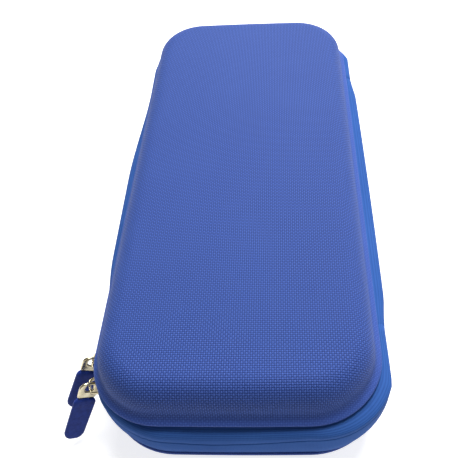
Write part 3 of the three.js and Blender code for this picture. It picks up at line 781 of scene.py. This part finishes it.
def straps():
    """Elastic straps: a leg down into a slit at each side, and a low arch over the barrel."""
    for name, node in (("strap_front_elastic", "strap_front"), ("strap_rear_elastic", "strap_rear")):
        low, high = corner_mm(node, False), corner_mm(node, True)
        thin = STRAP_HALF_THICK
        left, right, top, y = low[0] + thin, high[0] - thin, high[2] - thin, (low[1] + high[1]) / 2
        knee = top - STRAP_ARCH
        leg = smooth_line([(left, low[2]), (left, (low[2] + knee) / 2), (left + 0.1, knee - 1.2),
                           (left + 1.4, knee + 0.3)], 5)
        arch = [(left + (right - left) * t, knee + STRAP_ARCH * math.sin(math.pi * t) ** 0.8)
                for t in np.linspace(0.08, 0.92, 22)]
        line = leg + arch + [(left + right - x, z) for x, z in reversed(leg)]
        half = (high[1] - low[1]) / 2
        edge = STRAP_EDGE + [(a, -b) for a, b in reversed(STRAP_EDGE)]
        section = [(half * a, thin * b) for a, b in edge]
        points, cloth, run = [], [], 0.0
        for k, (x, z) in enumerate(line):
            before, after = line[max(0, k - 1)], line[min(len(line) - 1, k + 1)]
            dx, dz = after[0] - before[0], after[1] - before[1]
            size = math.hypot(dx, dz)
            run += math.dist(line[k], line[k - 1]) if k else 0
            for across, through in section:
                points.append((x - dz / size * through, y + across, z + dx / size * through))
                cloth.append((run, across, 0))
        faces = grid_faces(len(line), len(section), True) + end_caps(len(points), len(section))
        add_piece(name, points, faces, STRAP, "base", [node], cloth)


def mesh_pocket():
    """A net sewn flat round three sides and gathered under elastic at its mouth."""
    low, high = corner_mm("mesh_pocket", False), corner_mm("mesh_pocket", True)
    flange = corner_mm("mesh_pocket_elastic", True)[0]
    wall, mouth = 5.0, 22
    deep, shallow = low[2] + 0.5, high[2] - 0.4
    columns, rows = 61, 121
    xs, ys = np.linspace(low[0] + 0.4, high[0] - 0.4, columns), np.linspace(low[1] + 0.4, high[1], rows)
    points, cloth = [], []
    for y in ys:
        for x in xs:
            inside = min(flange - abs(x), y - low[1] - (high[0] - flange)) / wall
            gather = 0.5 * math.sin(x * 0.75 + 0.8 * math.sin(x * 0.21))
            gather *= ease_in((y - high[1] + mouth) / mouth)
            sag = 0.5 * math.sin(math.pi * (x + high[0]) / (2 * high[0])) * math.cos(y * 0.03)
            z = shallow + (deep - shallow) * ease_in(inside) + (gather - sag) * ease_in(inside * 0.7)
            points.append((x, y, max(z, low[2] - 0.5)))
            cloth.append((x, y, 0))
    net = add_piece("mesh_pocket_net", points, grid_faces(rows, columns), NET, "lid",
                    ["mesh_pocket"], cloth)
    top = corner_mm("mesh_pocket_border", True)[2]
    border_low = corner_mm("mesh_pocket_border", False)
    middle, half = (flange + high[0]) / 2 + 0.1, (high[0] - flange) / 2 - 0.1
    end_y, corner = border_low[1] + half, 3.0
    line = [(middle, high[1] - 0.5 - k * 6) for k in range(30)]
    line = [(x, y) for x, y in line if y > end_y + corner]
    turn = [(middle - corner + corner * math.cos(a), end_y + corner - corner * math.sin(a))
            for a in np.linspace(0, math.pi / 2, 7)]
    across = [(x, end_y) for x in np.linspace(middle - corner - 4, -middle + corner + 4, 14)]
    path = line + turn + across + [(-x, y) for x, y in reversed(turn)] + [(-x, y) for x, y in reversed(line)]
    points, faces = tube([(x, y, top - 0.4) for x, y in path], half, 0.45, 12, (0, 0, 1), 2 / 4)
    border = add_piece("pocket_border_tape", points, faces, BINDING, "lid", ["mesh_pocket_border"],
                       [(y, x, 0) for x, y, z in points])
    e_low, e_high = corner_mm("mesh_pocket_elastic", False), corner_mm("mesh_pocket_elastic", True)
    middle_y, middle_z = (e_low[1] + e_high[1]) / 2, (e_low[2] + e_high[2]) / 2
    path = [(x, middle_y + 0.25 * math.sin(x * 1.3), middle_z + 0.18 * math.sin(x * 2.1))
            for x in np.linspace(e_low[0] + 0.3, e_high[0] - 0.3, 90)]
    points, faces = tube(path, 2.9, 0.85, 14, (0, 0, 1), 2 / 3)
    elastic = add_piece("pocket_elastic_band", points, faces, STRAP, "lid",
                        ["mesh_pocket_elastic"], [(x, y, 0) for x, y, z in points])


# ---- sliders and pulls ----------------------------------------------------------------------------
PULL_TILT, PULL_TWIST = 18, 12
# How far out from its CAD pivot and along the zip each pull hangs, and its lean in degrees.
HANGS = {"rear": (1.1, -0.5, 28), "front": (1.3, 0.4, 31)}
FACE_TO_PIVOT = 2.95
EYE_TOP = 2.6
LINK_HALF_THICK = 0.6


def pivot_frame(joint_name):
    """Axes at a pull's pivot: +X out of the case, +Y along the zip towards the front, +Z up."""
    joint = next(j for j in frame["joints"] if joint_name in j.values())
    along = -Vector(joint["axis"]).normalized()
    up = Vector((0, 0, 1))
    out = along.cross(up)
    axes = Matrix((out, along, up)).transposed().to_4x4()
    return Matrix.Translation(Vector(joint["pos_m"]) / MM) @ axes


def moved(matrix, points):
    """Points carried from a pull's own axes to the case's."""
    return [tuple(matrix @ Vector(p)) for p in points]


def crown_bridge(prefix, axes, out):
    """The bridge on the slider's face that the pull hangs from."""
    foot = -FACE_TO_PIVOT - out - 0.2
    half = [(foot, 3.7), (foot / 2 - 0.6, 3.75), (-0.9, 3.3), (-0.3, 2.5), (-0.15, 1.2)]
    line = smooth_line(half + [(x, -y) for x, y in reversed(half)], 4)
    path = [(x, y, 0) for x, y in line]
    points, faces = tube(path, 0.42, 1.0, 12, (0, 0, 1), 2 / 3)
    name = f"{prefix}_slider_crown"
    add_piece(f"{prefix}_crown_bridge", moved(axes, points), faces, NICKEL, f"{prefix}_slider",
              [name])


def pull_link(prefix, axes):
    """A cast link: an eye that hangs from the crown, and a foot that the tab is moulded onto."""
    side = [(0, EYE_TOP), (-2.6, 2.3), (-4.2, 1.1), (-4.7, -0.6), (-4.6, -2.6), (-4.5, -4.2),
            (-4.4, -5.4), (-3.6, -6.2)]
    outer = smooth_line(side + [(0, -6.5)] + [(-x, z) for x, z in side[:0:-1]] + [(0, EYE_TOP)], 5)[:-1]
    angle = np.unwrap([math.atan2(z, x) for x, z in outer])
    reach = np.hypot([x for x, _ in outer], [z for _, z in outer])
    order = np.argsort(angle)
    steps, around = 64, 14
    points = []
    for k in range(steps):
        a = angle[order[0]] + 2 * math.pi * k / steps
        outside = np.interp(a, angle[order], reach[order], period=2 * math.pi)
        hole = 1.6 + 0.9 * max(0.0, -math.sin(a)) + 0.3 * abs(math.cos(a))
        middle, half = (outside + hole) / 2, (outside - hole) / 2
        for s in range(around):
            b, c = squared_circle(2 * math.pi * s / around, 0.6)
            out = middle + half * b
            points.append((math.cos(a) * out, LINK_HALF_THICK * c, math.sin(a) * out))
    faces = grid_faces(steps, around, True, True)
    name = f"{prefix}_pull_link"
    add_piece(f"{prefix}_link_cast", moved(axes, points), faces, NICKEL, f"{prefix}_pull", [name])


def pull_tab(prefix, axes):
    """A moulded rubber tab, rounded all over, with a shallow thumb hollow on each face."""
    top, length, width, thickness = -5.9, 25.0, 4.7, 1.45
    rows, columns = 40, 32
    points = []
    for r in range(rows + 1):
        t = 0.5 - 0.5 * math.cos(math.pi * r / rows)
        from_end = min(t, 1 - t) * length
        end = min(1.0, from_end / (3.6 + 0.9 * t))
        w = width * (1 - (1 - end) ** 2.4) ** 0.45 if end > 0 else 0.0
        thin = min(1.0, from_end / 1.5)
        h = thickness * (1 - (1 - thin) ** 2.2) ** 0.5 if thin > 0 else 0.0
        for c in range(columns):
            x, y = squared_circle(2 * math.pi * c / columns, 0.62)
            hollow = 1 - 0.16 * (1 - abs(x) ** 2) * ease_in((from_end - 3) / 3)
            taper = 1.14 - 0.14 * t
            points.append((w * x * taper, h * y * hollow, top - t * length))
    faces = grid_faces(rows + 1, columns, True)
    name = f"{prefix}_pull_tab"
    add_piece(f"{prefix}_tab_moulded", moved(axes, points), faces, RUBBER, f"{prefix}_pull",
              [name])


def sliders():
    """The crowns and the pulls of both sliders, each pull hanging askew from its crown."""
    for prefix in ("rear", "front"):
        out, along, degrees = HANGS[prefix]
        slider = pivot_frame(f"{prefix}_pull_swing") @ Matrix.Translation((out, along, 0))
        crown_bridge(prefix, slider, out)
        lean = Matrix.Rotation(-math.radians(degrees), 4, "Y")
        tilt = Matrix.Rotation(math.radians(PULL_TILT), 4, "X")
        twist = Matrix.Rotation(math.radians(PULL_TWIST), 4, "Z")
        hanging = slider @ lean @ tilt @ twist
        pull_link(prefix, hanging)
        pull_tab(prefix, hanging)


def hard_nodes():
    """CAD nodes that show as they are, with softened edges."""
    nodes = {f"{p}_slider_body": (NICKEL, 0.25) for p in ("rear", "front")}
    nodes.update({f"zip_stop_{h}_{e}": (COIL, 0.3) for h in ("upper", "lower") for e in ("front", "rear")})
    for name, (material, edge) in nodes.items():
        node = frame["nodes"][name]
        node.data.materials.clear()
        node.data.materials.append(material)
        bevel = node.modifiers.new("edges", "BEVEL")
        bevel.width, bevel.segments, bevel.limit_method = edge * MM, 2, "ANGLE"


# ---- camera, lights and floor ---------------------------------------------------------------------
def camera():
    """Above and before the near short end, turned and rolled a little."""
    yaw, pitch, roll = -0.116, 0.850, -0.111
    eye = Vector((26.02, -246.554, 278.716)) * MM
    forward = Vector((math.sin(yaw) * math.cos(pitch), math.cos(yaw) * math.cos(pitch), -math.sin(pitch)))
    right = Vector((math.cos(yaw), -math.sin(yaw), 0))
    up = right.cross(forward)
    turned_right = math.cos(roll) * right + math.sin(roll) * up
    turned_up = -math.sin(roll) * right + math.cos(roll) * up
    data = bpy.data.cameras.new("camera")
    data.sensor_width = 36
    data.lens = 48.1
    data.shift_x = -0.035
    data.clip_start, data.clip_end = 0.01, 20
    made = bpy.data.objects.new("camera", data)
    axes = Matrix((turned_right, turned_up, -forward)).transposed().to_4x4()
    made.matrix_world = Matrix.Translation(eye) @ axes
    bpy.context.scene.collection.objects.link(made)
    bpy.context.scene.camera = made


def area_light(name, place, target, size, power):
    """A lamp of a size and power at a place, turned towards a target."""
    data = bpy.data.lights.new(name, "AREA")
    data.shape = "RECTANGLE"
    data.size, data.size_y = size
    data.energy = power
    made = bpy.data.objects.new(name, data)
    made.location = place
    made.rotation_euler = (Vector(target) - Vector(place)).to_track_quat("-Z", "Y").to_euler()
    bpy.context.scene.collection.objects.link(made)


WORLD_LIGHT, WORLD_SEEN = 0.22, 1.0


def studio():
    """Soft light from behind and above. The world is weak as a light, and white where the camera sees it."""
    scene = bpy.context.scene
    scene.view_settings.view_transform = "Standard"
    world = bpy.data.worlds.new("studio")
    scene.world = world
    world.use_nodes = True
    tree = world.node_tree
    background = next(n for n in tree.nodes if n.type == "BACKGROUND")
    background.inputs[0].default_value = (1, 1, 1, 1)
    seen = tree.nodes.new("ShaderNodeLightPath").outputs["Is Camera Ray"]
    strength = tree.nodes.new("ShaderNodeMapRange")
    tree.links.new(seen, strength.inputs[0])
    strength.inputs["To Min"].default_value = WORLD_LIGHT
    strength.inputs["To Max"].default_value = WORLD_SEEN
    tree.links.new(strength.outputs[0], background.inputs[1])
    area_light("key", (0.2, 1.0, 0.95), (0, 0.05, 0.03), (0.9, 0.6), 20)
    area_light("side", (0.9, 0.1, 0.5), (0, 0, 0.03), (0.5, 0.8), 1.5)
    area_light("top", (0.2, 0.3, 1.15), (0, 0, 0), (0.6, 0.6), 16)


def floor():
    """A wide, pale ground that glows a little, so that it shows nearly white."""
    size = 6.0
    points = [(-size, -size, 0), (size, -size, 0), (size, size, 0), (-size, size, 0)]
    s = Shader("floor", 0.9, Emission_Strength=0.75)
    s.surface.inputs["Emission Color"].default_value = (1, 1, 1, 1)
    s.colour(s.mix(s.noise(3, 2), (0.6, 0.6, 0.6), (0.63, 0.63, 0.63)))
    mesh = bpy.data.meshes.new("floor")
    mesh.from_pydata(points, [], [(0, 1, 2, 3)])
    mesh.materials.append(s.material)
    made = bpy.data.objects.new("floor", mesh)
    bpy.context.scene.collection.objects.link(made)


# ---- make everything ------------------------------------------------------------------------------
camera()
studio()
floor()
lid_shell()
base_shell()
linings()
zip_tapes()
hinge_strip()
coils()
bindings()
pads()
straps()
mesh_pocket()
sliders()
hard_nodes()
